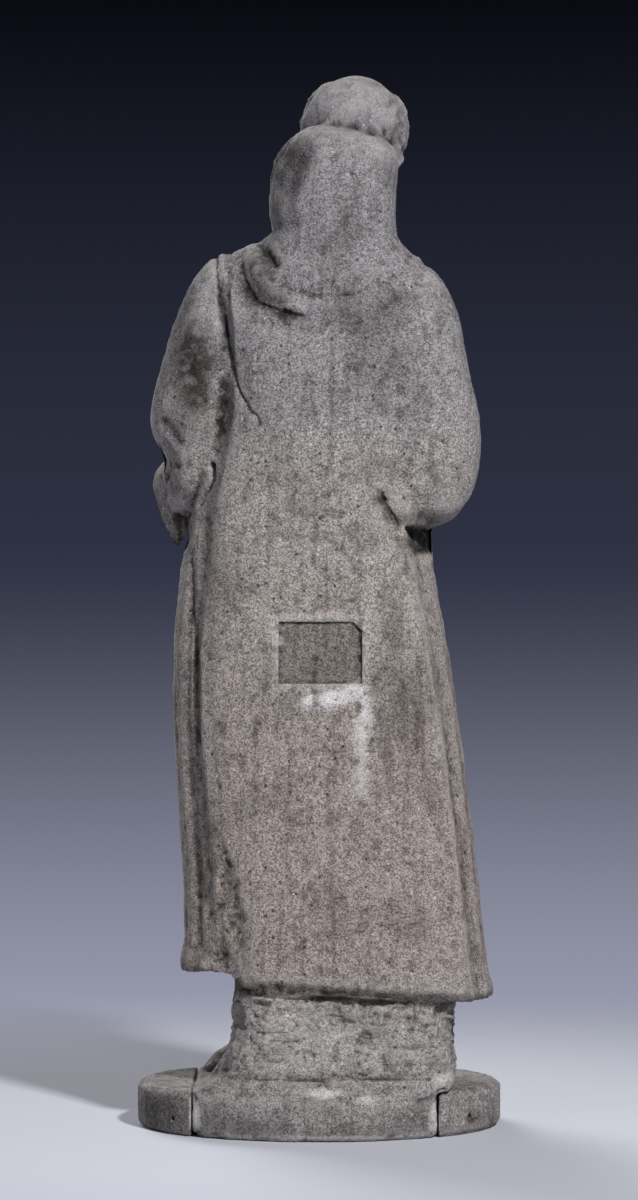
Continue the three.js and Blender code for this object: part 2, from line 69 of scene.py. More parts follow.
# The lines that are cut into the back, as (x, z) points with the cut's half width and depth.
BACK_LINES = [
    {"at": [(47, 703), (42, 694), (35, 682)], "wide": 4, "deep": 4.5},
    {"at": [(-83, 684), (-77, 668), (-65, 656), (-50, 647)], "wide": 4, "deep": 1.0},
    {"at": [(-44, 645), (-36, 640), (-28, 634)], "wide": 3, "deep": 0.7},
    {"at": [(82, 692), (79, 674), (77, 654), (73, 626)], "wide": 2.2, "deep": 4},
    {"at": [(73, 626), (69, 607), (66, 590)], "wide": 1.8, "deep": 2.4},
    {"at": [(66, 590), (63, 581), (57, 573), (55, 567), (49, 562), (46, 556)], "wide": 1.5, "deep": 2.8},
    {"at": [(84, 525), (84, 514), (90, 504), (95, 494)], "wide": 1.7, "deep": 9},
    {"at": [(115, 487), (113, 474), (112, 460)], "wide": 2.6, "deep": 3},
    {"at": [(107, 487), (106, 474), (105, 460)], "wide": 2.6, "deep": 3},
    {"at": [(102, 455), (98, 379), (97, 300), (96, 250)], "wide": 4.4, "deep": 2.6},
    {"at": [(96, 250), (95, 222), (94, 185)], "wide": 3.4, "deep": 1.8},
    {"at": [(94, 185), (93, 160), (92, 145)], "wide": 2.4, "deep": 0.9},
    {"at": [(-120, 330), (-130, 200), (-134, 130)], "wide": 4, "deep": 1.4},
    {"at": [(80, 48), (40, 47), (-12, 48), (-60, 47), (-86, 47)], "wide": 1.6, "deep": 1.8},
]

# Wide, soft hollows of the cloth, given in the same way.
SOFT_HOLLOWS = [
    {"at": [(26, 772), (28, 762), (31, 752)], "wide": 14, "deep": 6},
    {"at": [(-12, 780), (-13, 765), (-14, 752)], "wide": 6, "deep": 1.2},
    {"at": [(122, 559), (117, 550), (110, 542)], "wide": 4, "deep": 2.4},
    {"at": [(125, 541), (119, 533), (113, 524)], "wide": 4, "deep": 2.4},
    {"at": [(90, 480), (88, 418), (86, 340), (84, 260)], "wide": 6, "deep": 1.6},
]

# Lines along which the solid's own steps have worn away, with how far the wear reaches.
WORN_STEPS = [
    {"at": [(24, 645), (0, 640), (-30, 640), (-62, 656)], "reach": 18},
    {"at": [(-76, 516), (-78, 498), (-77, 484)], "reach": 14},
    {"at": [(72, 605), (76, 570), (80, 540), (84, 520), (87, 484),
            (86, 418), (84, 340), (83, 260), (85, 200), (87, 140)], "reach": 11},
    {"at": [(-46, 506), (-54, 495), (-62, 484), (-68, 472)], "reach": 12},
    {"at": [(-70, 468), (-77, 441), (-86, 380), (-96, 320)], "reach": 13},
]

# Edges past which the stone is set back, on the side where line_offset gives 1, by a depth that runs out
# within a reach. The step is as steep as its slope is narrow, and the edge is rounded over its roll.
LEDGES = [
    {"at": [(58, 700), (59, 689), (56, 674), (51, 663), (45, 654), (29, 648)],
     "deep": 6, "reach": 26, "slope": 2.5, "roll": 14},
    {"at": [(-55, 495), (-58, 490), (-62, 484), (-66, 478), (-69, 471)],
     "deep": 5, "reach": 16, "slope": 2.5, "roll": 8},
]
# The edge of the left sleeve's cuff, past which the stone is set back as well.
SLEEVE_EDGE = [(118, 532), (116, 517), (121, 505), (122, 499), (118, 491), (107, 488), (94, 492)]

# The edge between the back panel and the strip at its right, as (z, x), and how far the strip lies behind it.
PANEL_EDGE = [(111, -119), (223, -106), (326, -93), (441, -75), (453, -72), (465, -70), (476, -65)]
STRIP_DEPTH = [(111, 0.8), (360, 1.5), (430, 6), (452, 12), (457, 30), (476, 36)]

# The underside of the hem's left end as the rough block has it, and as it is cut, as (x, z).
LEFT_HEM = [(60, 109), (66, 111.6), (73, 113.6), (86, 118.6), (98, 125.6), (105, 129)]
LEFT_HEM_LEVEL = [(60, 112), (68.7, 120.6), (76.6, 122), (93.8, 124), (107.5, 128)]

# The edge of the break at the lower left of the back panel, as (z, x), and how far out it runs.
BREAK_EDGE = [(100, 47), (120, 49), (170, 53), (201, 61), (225, 70), (250, 84)]
BREAK_SIDE = 92

# Where the weather, sooty grime and painted shade, repairs and rust show on the back, as (x, z, half width,
# half height, strength).
SOOT_AND_SHADE_PATCHES = [
    # Painted shade with grime on the left sleeve and shoulder, which turn away from the key light.
    (99, 600, 18, 46, 1.0),
    (112, 650, 18, 34, 0.5),
    (112, 560, 9, 26, 0.5),
    # Painted shade in the trough between the left sleeve and the body.
    (73, 562, 7, 22, 0.6),
    # Painted shadow, with some grime, on the left cuff below the elbow.
    (118, 515, 14, 14, 0.5),
    (109, 475, 12, 16, 0.8),
    (-36, 640, 36, 16, 0.4),
    (-60, 655, 14, 9, 0.5),
    # Painted shade with grime on the cowl's roll, where it turns left and down.
    (47, 678, 11, 22, 0.75),
    (40, 657, 15, 10, 0.8),
    # Painted shade on the hood's left side and in its hollow, which turn away from the light.
    (21, 764, 13, 17, 0.8),
    (30, 750, 14, 36, 0.55),
    (-8, 735, 30, 50, 0.12),
    (84, 425, 13, 75, 0.22),
    (98, 360, 12, 110, 0.1),
    (-58, 391, 9, 22, 0.55),
    (-62, 330, 18, 60, 0.25),
    # Painted shade with grime on the right sleeve's underside, and its painted shadow on the strip below.
    (-78, 481, 25, 7, 0.7),
    (-78, 464, 16, 9, 1.0),
    (72, 170, 20, 66, 0.06),
    (92, 505, 8, 18, 0.3),
    (45, 560, 30, 30, 0.2),
    (125, 15, 26, 18, 0.75),
    (60, 8, 46, 12, 0.55),
    (-20, 5, 60, 8, 0.5),
    (-70, 12, 20, 14, 0.5),
    (24, 806, 8, 18, 0.7),
]
PLASTER_PATCHES = [
    (7, 341, 8, 7, 1.0),
    (-13, 342, 15, 6, 1.0),
    (-27, 346, 10, 8, 0.8),
    (-34, 322, 7, 30, 0.7),
    (-33, 280, 6, 22, 0.5),
    (32, 388, 3.5, 18, 0.3),
    (10, 405, 30, 3, 0.25),
    (-2, 37, 16, 4, 0.7),
    (-38, 33, 9, 3, 0.5),
    (97, 18, 3.5, 10, 0.9),
    (-90, 17, 4, 13, 0.8),
    (0, 78, 84, 26, 0.16),
    (-98, 46, 9, 7, 0.55),
    (-5, 3, 90, 2.5, 0.5),
]
RUST_PATCHES = [
    (17, 277, 2, 4, 0.9),
    (31, 273, 2.5, 3, 0.6),
    (2, 372, 3, 3, 0.6),
    (-119, 13, 5, 5, 0.9),
    (60, 49, 30, 2.5, 0.5),
    (-20, 49, 70, 2, 0.5),
    (40, 62, 7, 9, 0.3),
    (76, 588, 3, 3, 0.5),
]

# The squared recess in the back, with the size of its cut corner and how far its cutter reaches out.
RECESS = {"width": 65, "height": 48, "corner": 7, "x": -1, "z": 377, "deep": 2.6, "reach": 20}

# The stage, in metres. A lamp has a name, a place, a size, a power in watts and a spread in degrees.
FLOOR_RADIUS = 1.6
FLOOR_FADE = (0.25, 1.1)
LAMPS = [
    ("key", (-1.3, 2.65, 2.5), 0.3, 134, 180),
    ("fill", (2.0, 2.0, 0.8), 1.6, 8, 180),
    ("front", (1.1, -2.2, 1.9), 1.6, 11, 60),
]
LAMP_TARGET = (0, 0, 0.5)
CAMERA_PLACE = (0, 3.0, 0.418)
SENSOR_WIDTH = 36
LENS = 112.5


def linear(code):
    """An sRGB hex colour as linear red, green and blue with full alpha."""
    parts = [int(code[i : i + 2], 16) / 255 for i in (0, 2, 4)]
    return (*[c / 12.92 if c <= 0.04045 else ((c + 0.055) / 1.055) ** 2.4 for c in parts], 1.0)


class StatueSizes(bpy.types.PropertyGroup):
    """The sizes that decide how finely the stone is carved and how worn it is."""

    step: bpy.props.FloatProperty(
        name="Carving step",
        description="Distance between the points of the carved surface",
        default=1.7 * MM,
        min=1.2 * MM,
        unit="LENGTH",
    )
    end_step: bpy.props.FloatProperty(
        name="Plinth end step",
        description="Distance between the points of the plinth ends' surface",
        default=1.2 * MM,
        min=0.8 * MM,
        unit="LENGTH",
    )
    faces: bpy.props.IntProperty(
        name="Triangles",
        description="The most triangles that the carved figure keeps",
        default=184000,
        min=20000,
    )
    wear: bpy.props.FloatProperty(
        name="Wear",
        description="Depth of the weathering all over the stone",
        default=1.0 * MM,
        min=0,
        unit="LENGTH",
    )
    grain: bpy.props.FloatProperty(
        name="Grain",
        description="Width of one grain of the stone's grit",
        default=1.0 * MM,
        min=0.5 * MM,
        unit="LENGTH",
    )


class StoneColours(bpy.types.PropertyGroup):
    """The colours of the stone and of what has settled on it."""

    pale: bpy.props.FloatVectorProperty(
        name="Pale grit", description="Bright grains",
        subtype="COLOR", size=4, default=linear("bcb7b3"))
    dark: bpy.props.FloatVectorProperty(
        name="Dark grit", description="Dark grains",
        subtype="COLOR", size=4, default=linear("625d59"))
    warm: bpy.props.FloatVectorProperty(
        name="Warm tint", description="Earth tint of the skirt",
        subtype="COLOR", size=4, default=linear("fff6f2"))
    cool: bpy.props.FloatVectorProperty(
        name="Cool tint", description="Rain-washed tint",
        subtype="COLOR", size=4, default=linear("e6e7f0"))
    # Dark colour laid on as grime and as painted shade, in hollows, under folds and in tiny pits.
    soot_and_shade: bpy.props.FloatVectorProperty(
        name="Soot", description="Grime over the grit",
        subtype="COLOR", size=4, default=linear("5f5a54"))
    plaster: bpy.props.FloatVectorProperty(
        name="Plaster", description="Smears of repair plaster",
        subtype="COLOR", size=4, default=linear("e2dedf"))
    rust: bpy.props.FloatVectorProperty(
        name="Rust", description="Rust and ochre spots",
        subtype="COLOR", size=4, default=linear("7a5138"))


def only(piece):
    """Makes a piece the one selected and active object."""
    bpy.ops.object.select_all(action="DESELECT")
    piece.select_set(True)
    bpy.context.view_layer.objects.active = piece


def finish_with(piece, kind, **settings):
    """Adds a modifier to a piece and applies it."""
    only(piece)
    modifier = piece.modifiers.new(kind.title(), kind)
    for name, value in settings.items():
        setattr(modifier, name, value)
    bpy.ops.object.modifier_apply(modifier=modifier.name)


def places(piece):
    """The points of a piece in millimetres."""
    flat = np.zeros(3 * len(piece.data.vertices), np.float32)
    piece.data.vertices.foreach_get("co", flat)
    return flat.reshape(-1, 3).astype(float) / MM


def move_to(piece, points):
    """Moves the points of a piece to new places in millimetres."""
    piece.data.vertices.foreach_set("co", (points * MM).astype(np.float32).ravel())
    piece.data.update()


def normals(piece):
    """The outward direction at each point of a piece."""
    flat = np.zeros(3 * len(piece.data.vertices), np.float32)
    piece.data.vertex_normals.foreach_get("vector", flat)
    return flat.reshape(-1, 3).astype(float)


def ease(value, low, high):
    """0 below low, 1 above high and smooth between."""
    t = np.clip((value - low) / (high - low), 0, 1)
    return t * t * (3 - 2 * t)


def bump(value, width):
    """1 where the value is 0, falling to 0 within about two widths."""
    return np.exp(-((value / width) ** 2))


def near(points, centre, radius):
    """1 inside a ball, fading to 0 over its outer third."""
    return 1 - ease(np.linalg.norm(points - np.array(centre), axis=1), 0.67 * radius, radius)


def head_axes():
    """The head's own axes, side, back and up, as the columns of a matrix."""
    return np.array(Euler([math.radians(angle) for angle in HEAD_TURN]).to_matrix())


def head_places(points):
    """The points in the head's own frame."""
    return (points - np.array(HEAD_CENTRE)) @ head_axes()


def fine_carving(points):
    """1 at the head and the hands, fading to 0 around them."""
    return np.maximum.reduce([
        near(points, LEFT_HAND, 45),
        near(points, RIGHT_HAND, 62),
        near(points, HEAD_CENTRE, 78),
    ])


def grit_at(points, across, up):
    """A noise value between about -1 and 1 at each point, its lumps across wide and up tall."""
    scaled = points / np.array([across, across, up])
    return np.array([noise.noise(Vector(place)) for place in scaled])


def hem_height(x):
    """The height of the hem's lower edge at a place across the figure."""
    return 112 + 0.07 * x + 6 * ease(x, 50, 100)


def line_offset(flat, line):
    """The distance from each (x, z) point to a line of points, and 1 or -1 for the side of it."""
    best = np.full(len(flat), np.inf)
    side = np.ones(len(flat))
    for start, end in zip(line[:-1], line[1:]):
        a = np.array(start, float)
        along = np.array(end, float) - a
        reach = flat - a
        share = np.clip(reach @ along / (along @ along), 0, 1)
        away = np.linalg.norm(reach - share[:, None] * along, axis=1)
        turn = np.where(along[0] * reach[:, 1] - along[1] * reach[:, 0] > 0, 1, -1)
        side = np.where(away < best, turn, side)
        best = np.minimum(best, away)
    return best, side


def soften(piece, rounds):
    """The points of a piece after rounds of averaging with their neighbours, leaving the piece as it is."""
    edges = np.zeros(2 * len(piece.data.edges), np.int32)
    piece.data.edges.foreach_get("vertices", edges)
    a, b = edges.reshape(-1, 2).T
    points = places(piece)
    count = len(points)
    degree = np.bincount(a, minlength=count) + np.bincount(b, minlength=count)
    for _ in range(rounds):
        total = [
            np.bincount(a, points[b, k], count) + np.bincount(b, points[a, k], count) for k in range(3)
        ]
        points = 0.5 * points + 0.5 * np.stack(total, 1) / np.maximum(degree, 1)[:, None]
    return points


def weigh(piece, name, weights):
    """A vertex group of a piece with the given weights, in steps of a twentieth."""
    group = piece.vertex_groups.new(name=name)
    steps = np.round(np.clip(weights, 0, 1) * 20).astype(int)
    for step in range(1, 21):
        members = np.nonzero(steps == step)[0]
        if len(members):
            group.add(members.tolist(), step / 20, "REPLACE")
    return group.name


def keep_value(piece, name, values):
    """Stores a value at each point of a piece, for its material to read."""
    attribute = piece.data.attributes.new(name, "FLOAT", "POINT")
    attribute.data.foreach_set("value", values.astype(np.float32))


def rough_block(node, name, step, levels):
    """A closed, evenly meshed copy of a CAD node, ready to carve."""
    piece = bpy.data.objects.new(name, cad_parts[node].data.copy())
    bpy.context.scene.collection.objects.link(piece)
    only(piece)
    bpy.ops.object.mode_set(mode="EDIT")
    bpy.ops.mesh.select_all(action="SELECT")
    bpy.ops.mesh.remove_doubles(threshold=0.01 * MM)
    bpy.ops.mesh.select_all(action="DESELECT")
    bpy.ops.mesh.edges_select_sharp(sharpness=math.radians(35))
    bpy.ops.transform.edge_crease(value=0.7)
    bpy.ops.object.mode_set(mode="OBJECT")
    if levels:
        finish_with(piece, "SUBSURF", levels=levels, render_levels=levels)
    finish_with(piece, "REMESH", mode="VOXEL", voxel_size=step)
    return piece


def displace(piece, size, depth, weights, name):
    """Wears a piece by a cloudy noise of the given size and depth in millimetres."""
    texture = bpy.data.textures.new(name, "CLOUDS")
    texture.noise_scale = size * MM
    texture.noise_depth = 2
    finish_with(
        piece,
        "DISPLACE",
        texture=texture,
        texture_coords="LOCAL",
        strength=depth * MM,
        mid_level=0.55,
        vertex_group=weigh(piece, name, weights),
    )


def carve_lines(piece):
    """Cuts the lines and the soft hollows into the back of the figure."""
    points = places(piece)
    out = normals(piece)
    facing = ease(out[:, 1], -0.25, 0.15) * ease(points[:, 1], -75, -60)
    cut = np.zeros(len(points))
    for line in BACK_LINES:
        away = line_offset(points[:, [0, 2]], line["at"])[0]
        cut = np.maximum(cut, line["deep"] * np.clip(1 - away / (2 * line["wide"]), 0, 1) ** 2)
    for line in SOFT_HOLLOWS:
        away = line_offset(points[:, [0, 2]], line["at"])[0]
        cut = np.maximum(cut, line["deep"] * np.exp(-((away / line["wide"]) ** 2)))
    move_to(piece, points - out * (cut * facing)[:, None])


def wear_steps(piece):
    """Wears away the steps that no longer show on the back."""
    points = places(piece)
    worn = np.zeros(len(points))
    for line in WORN_STEPS:
        away = line_offset(points[:, [0, 2]], line["at"])[0]
        worn = np.maximum(worn, 1 - ease(away, 0.5 * line["reach"], line["reach"]))
    group = weigh(piece, "worn", worn * ease(points[:, 1], 10, 25))
    finish_with(piece, "SMOOTH", factor=0.5, iterations=90, vertex_group=group)


def set_back(piece):
    """Sets the stone back past the cowl, the sleeves and the back panel."""
    points = places(piece)
    out = normals(piece)
    x, y, z = points.T
    flat = points[:, [0, 2]]
    facing = ease(out[:, 1], -0.1, 0.2)
    back = np.zeros(len(points))
    for ledge in LEDGES:
        away, side = line_offset(flat, ledge["at"])
        past = ease(side * away, 0, ledge["slope"])
        past = past * (1 - ease(away, 0.2 * ledge["reach"], ledge["reach"]))
        roll = 0.5 * np.clip(1 - away / ledge["roll"], 0, 1) ** 2
        back = np.maximum(back, ledge["deep"] * np.maximum(past, roll) * (y > -15))
    heights, edges = np.array(PANEL_EDGE, float).T
    past = ease(np.interp(z, heights, edges) - x, 0, 5) * (1 - ease(z, 474, 477)) * ease(z, 100, 112)
    back = np.maximum(back, past * np.interp(z, *np.array(STRIP_DEPTH, float).T) * ease(y, -10, 10))
    under = (1 - ease(z, 474, 496)) ** 2 * (z > 472) * ease(-x, 54, 66)
    back = np.maximum(back, 5 * under * ease(y, -10, 10))
    away, side = line_offset(flat, SLEEVE_EDGE)
    past = ease(side * away, 0, 3) * (x > 88) * ease(z, 440, 450)
    past = past * (1 - ease(z, 536, 545)) * (1 - ease(y, 16, 28))
    back = np.maximum(back, past * np.clip(0.4 * (y + 66), 0, 15))
    points[:, 1] -= back * facing
    move_to(piece, points)


def square_hem(piece):
    """Squares the hem's outer corners and levels its left end, which the rough block leaves round."""
    points = places(piece)
    x, _, z = points.T
    top = 150
    hangs = np.interp(x, *np.array(LEFT_HEM, float).T)
    level = np.interp(x, *np.array(LEFT_HEM_LEVEL, float).T)
    robe = (z > hangs - 4) & (z < top)
    raised = top - (top - z) * (top - level) / (top - hangs)
    points[:, 2] = np.where(robe, z + ease(x, 57, 66) * (raised - z), z)
    wider = 0.035 * ease(x, 78, 98) * (1 - ease(z, 126, top)) * (z > 110)
    wider += 0.022 * ease(-x, 95, 120) * (1 - ease(z, 104, 122)) * (z > 90)
    points[:, 0] = x * (1 + wider)
    move_to(piece, points)


def round_hem(piece):
    """Breaks the hem's lower edge into a rough band that slopes in to the support block."""
    points = places(piece)
    out = normals(piece)
    x, y, z = points.T
    tall = 9
    sectors = 180
    drop = hem_height(x) + tall - z
    flush = ease(-x, -45, 15)
    below = flush * ease(z, LIP_TOP, LIP_TOP + 25) + (1 - flush) * (1 - ease(drop, 11, 16)) * (z > 80)
    band = np.clip(drop, 0, tall) / tall * below * ease(np.hypot(out[:, 0], out[:, 1]), 0.2, 0.6)
    band = band * ease(y, 10, 40) * ease(x, -112, -98) * (1 - ease(x, 44, 58))
    some = np.nonzero(band > 0.01)[0]
    rough = 1.8 * grit_at(points[some], 12, 8) + grit_at(points[some], 5, 4)
    points[some] -= out[some] * (band[some] * np.clip(6 + rough, 0, 9))[:, None] * np.array([1, 1, 0])
    radius = np.hypot(x, y)
    sector = ((np.arctan2(y, x) / (2 * math.pi) + 0.5) * sectors).astype(int) % sectors
    edge = np.zeros(sectors)
    rim = np.abs(drop) < 6
    np.maximum.at(edge, sector[rim], radius[rim])
    under = ease(-out[:, 2], 0.2, 0.6) * (np.abs(drop - tall) < tall) * ease(y, 35, 60)
    under = under * (1 - flush) * (1 - ease(x, 40, 54))
    points[:, 2] -= under * 8 * ease(edge[sector] - radius, 1, 11)
    move_to(piece, points)


def slope_lip(piece):
    """Cuts the lip's left end down to the plinth."""
    points = places(piece)
    x, y, z = points.T
    start = 78
    limit = LIP_TOP - (x - start) * (LIP_TOP - PLINTH_TOP) / 21
    over = (x > start) & (z > limit) & (z < LIP_TOP + 3) & (y > 20)
    points[over, 2] = np.maximum(limit[over], PLINTH_TOP)
    move_to(piece, points)


def rough_hair(piece):
    """Gives the ring of hair around the shaved crown its lumps and locks."""
    points = places(piece)
    out = normals(piece)
    local = head_places(points)
    front = ease(-local[:, 1], 10, 40)
    low = -25 + 40 * front
    hair = ease(local[:, 2], low - 4, low + 4) * (1 - ease(local[:, 2], 25, 33))
    hair = hair * near(points, HEAD_CENTRE, 70)
    some = np.nonzero(hair > 0.01)[0]
    angle = np.arctan2(local[some, 0], local[some, 1])
    locks = np.sin(13 * angle + 3 * grit_at(local[some], 20, 20) + local[some, 2] / 7)
    lumps = (0.9 * locks + 1.8 * grit_at(local[some], 8, 8)) * (1 - 0.75 * ease(local[some, 1], 12, 36))
    points[some] += out[some] * (hair[some] * lumps)[:, None]
    move_to(piece, points)


def carve_face(piece):
    """Carves lids, brows, nose, lips and chin on the head's own axes."""
    points = places(piece)
    axes = head_axes()
    x, y, z = head_places(points).T
    within = near(points, HEAD_CENTRE, FACE_REACH)
    shown = ease(-(normals(piece) @ axes)[:, 1], 0.05, 0.45) * ease(-y, 5, 20) * within
    side = np.abs(x)
    along = (side - FACE["eye_side"]) / 9.5
    open_eye = np.clip(1 - along**2, 0, 1)
    upper = FACE["eyes"] + 3.4 * open_eye - 0.8 * along
    lower = FACE["eyes"] - 3.0 * open_eye
    lid = ease(open_eye, 0, 0.25)
    relief = 1.7 * bump(z - upper, 1.5) * lid + 1.1 * bump(z - lower, 1.3) * lid
    relief -= 1.5 * ease(upper - z, 0.3, 1.6) * ease(z - lower, 0.3, 1.6) * lid
    relief -= 1.3 * bump(z - upper - 3.6, 1.5) * lid
    arch = FACE["brow"] + 3.2 * (1 - ((side - 15) / 13) ** 2)
    relief += 1.5 * bump(z - arch, 2.6) * ease(side, 3, 7) * (1 - ease(side, 24, 30))
    relief += 2.2 * bump(side - 6, 2.8) * bump(z - FACE["nose"], 3.2)
    relief -= 1.3 * bump(side - 10, 1.8) * bump(z - FACE["nose"], 4.5)
    relief -= 1.8 * bump(side - 3.6, 1.6) * bump(z - FACE["nose"] + 3, 1.4)
    fold = 10 + 0.45 * (FACE["nose"] - z)
    crease = 0.8 * bump(side - fold, 2) * ease(z, FACE["mouth"] - 3, FACE["mouth"] + 4)
    relief -= crease * (z < FACE["nose"])
    relief -= 0.9 * bump(x, 1.7) * bump(z - FACE["mouth"] - 6, 2.6)
    line = FACE["mouth"] + 0.9 * bump(x, 3.5) - 0.006 * x**2
    upper_lip = 1.7 * bump(z - line - 2.2, 1.7) * bump(x, 9.5)
    relief += upper_lip + 2.0 * bump(z - line + 2.8, 2.0) * bump(x, 8)
    relief -= 2.2 * bump(z - line, 1.1) * bump(x, 12)
    relief -= 1.0 * bump(side - 12.5, 2.2) * bump(z - FACE["mouth"], 2.5)
    relief -= 1.6 * bump(z - FACE["mouth"] + 7.5, 2.4) * bump(x, 9)
    relief += 1.3 * bump(x, 8) * bump(z - FACE["chin"], 5)
    chin = 11 * bump(x, 15) * bump(z - FACE["chin"] - 1, 7.5) * ease(-y, 2, 14) * within
    points -= (shown * relief + chin)[:, None] * axes[:, 1]
    move_to(piece, points)


def refine(piece, chosen):
    """Splits the faces of a piece whose points are all chosen."""
    corners = np.zeros(len(piece.data.loops), np.int32)
    piece.data.loops.foreach_get("vertex_index", corners)
    pairs = np.zeros(2 * len(piece.data.edges), np.int32)
    piece.data.edges.foreach_get("vertices", pairs)
    piece.data.vertices.foreach_set("select", chosen)
    piece.data.edges.foreach_set("select", chosen[pairs.reshape(-1, 2)].all(1))
    piece.data.polygons.foreach_set("select", chosen[corners.reshape(-1, 4)].all(1))
    only(piece)
    bpy.ops.object.mode_set(mode="EDIT")
    bpy.ops.mesh.select_mode(type="FACE")
    bpy.ops.mesh.subdivide(number_cuts=1)
    bpy.ops.object.mode_set(mode="OBJECT")


def break_corner(piece):
    """Roughens and sets back what the break at the lower left of the back panel has laid bare."""
    points = places(piece)
    out = normals(piece)
    x, y, z = points.T
    heights, edges = np.array(BREAK_EDGE, float).T
    ragged = np.stack([0 * z, 0 * z, z], 1)
    inside = np.interp(z, heights, edges) + 7 * grit_at(ragged, 1, 31) + 2 * grit_at(ragged, 1, 8)
    slope = 7 + 6 * (1 - ease(z, 150, 200))
    inside = ease((x - inside) / slope, 0, 1) * (1 - ease(x, BREAK_SIDE - 18, BREAK_SIDE + 2))
    inside = inside * (1 - ease(z, 238, 252)) * ease(z, 104, 112) * ease(out[:, 1], 0, 0.3) * (y > 40)
    some = np.nonzero(inside > 0.01)[0]
    rough = 5 * grit_at(points[some], 14, 20) + 2.4 * np.abs(grit_at(points[some], 7, 7))
    points[some, 1] -= inside[some] * np.clip(3.5 + rough, 1, 9)
    move_to(piece, points)


def tool_block(piece):
    """Leaves level rows of chisel marks on the support block under the hem."""
    points = places(piece)
    out = normals(piece)
    x, y, z = points.T
    shown = ease(z, LIP_TOP, LIP_TOP + 5) * (1 - ease(z, hem_height(x) - 8, hem_height(x)))
    shown = shown * (1 - ease(np.abs(out[:, 2]), 0.5, 0.8)) * ease(y, -40, -25)
    some = np.nonzero(shown > 0.01)[0]
    at = points[some]
    rough = 4 * grit_at(at, 22, 12) + 2.4 * grit_at(at, 10, 4) + grit_at(at, 4, 4)
    cracks = 2.5 * (1 - ease(np.abs(grit_at(at, 24, 10)), 0, 0.06))
    move = shown[some] * np.clip(rough - cracks - 0.4, -4.5, 2)
    points[some] += out[some] * move[:, None]
    move_to(piece, points)


def chip_edges(piece):
    """Knocks chips out of the sharp edges of a piece."""
    points = places(piece)
    out = normals(piece)
    z = points[:, 2]
    edge = ease(((points - soften(piece, 16)) * out).sum(1), 0.35, 0.9) * (1 - ease(z, 130, 145))
    edge = edge * (1 - 0.65 * ease(z, 80, 92))
    some = np.nonzero(edge > 0.02)[0]
    at = points[some]
    chance = ease(grit_at(at, 11, 11), 0.02, 0.4) + 0.5 * ease(grit_at(at, 4, 4), 0.1, 0.5)
    gap = np.minimum(np.abs(at[:, 0] - JOINTS[0]), np.abs(at[:, 0] - JOINTS[1]))
    chance += (1 - ease(gap, 3, 7)) * (0.4 + 0.8 * grit_at(at, 5, 5))
    points[some] -= out[some] * (CHIP_DEPTH * edge[some] * np.clip(chance, 0, 2))[:, None]
    move_to(piece, points)


def beyond_recess(points):
    """How far each point lies outside the recess, seen from the back, and less than 0 inside it."""
    x, y, z = points.T
    across = np.abs(x - RECESS["x"]) - RECESS["width"] / 2
    up = np.abs(z - RECESS["z"]) - RECESS["height"] / 2
    return np.where(y > 60, np.maximum(across, up), np.inf)


def recess_terms(points):
    """The terms of the curved plane that the back makes around the recess."""
    x = points[:, 0] - RECESS["x"]
    z = points[:, 2] - RECESS["z"]
    return np.stack([np.ones_like(x), x, z, x * x, x * z, z * z], 1)


def close_recess(piece):
    """Fills the soft recess that the rough block brings and gives the curved plane of the back around it."""
    points = places(piece)
    beyond = beyond_recess(points)
    ring = (beyond > 5) & (beyond < 15)
    plane = np.linalg.lstsq(recess_terms(points[ring]), points[ring, 1], rcond=None)[0]
    hole = beyond <= 6
    points[hole, 1] = recess_terms(points[hole]) @ plane
    move_to(piece, points)
    return plane


def patch_values(points, out, patches, warp):
    """How strongly a list of patches shows at each point that faces the back, their edges warped."""
    best = np.zeros(len(points))
    for x, z, half_width, half_height, strength in patches:
        away = ((points[:, 0] - x) / half_width) ** 2 + ((points[:, 2] - z) / half_height) ** 2
        best = np.maximum(best, strength * np.exp(-((away * warp) ** 2)))
    return best * ease(out[:, 1], -0.3, 0)


def pit(piece, chooser):
    """Sinks small round pits at seeded random points of a piece."""
    points = places(piece)
    out = normals(piece)
    least, most = PIT_RADIUS
    tree = kdtree.KDTree(len(points))
    for index, place in enumerate(points):
        tree.insert(place, index)
    tree.balance()
    for index in chooser.choice(len(points), PIT_COUNT, replace=False):
        radius = least + (most - least) * chooser.random() ** 3
        for place, other, distance in tree.find_range(points[index], radius):
            points[other] -= out[index] * 0.5 * radius * (1 - (distance / radius) ** 2)
    move_to(piece, points)


def add_node(tree, kind, inputs=None, **settings):
    """A node with its settings, its sockets set to values or linked to other nodes' sockets."""
    node = tree.nodes.new(kind)
    for name, value in settings.items():
        setattr(node, name, value)
    for socket, value in (inputs or {}).items():
        if isinstance(value, bpy.types.NodeSocket):
            tree.links.new(value, node.inputs[socket])
        else:
            node.inputs[socket].default_value = value
    return node


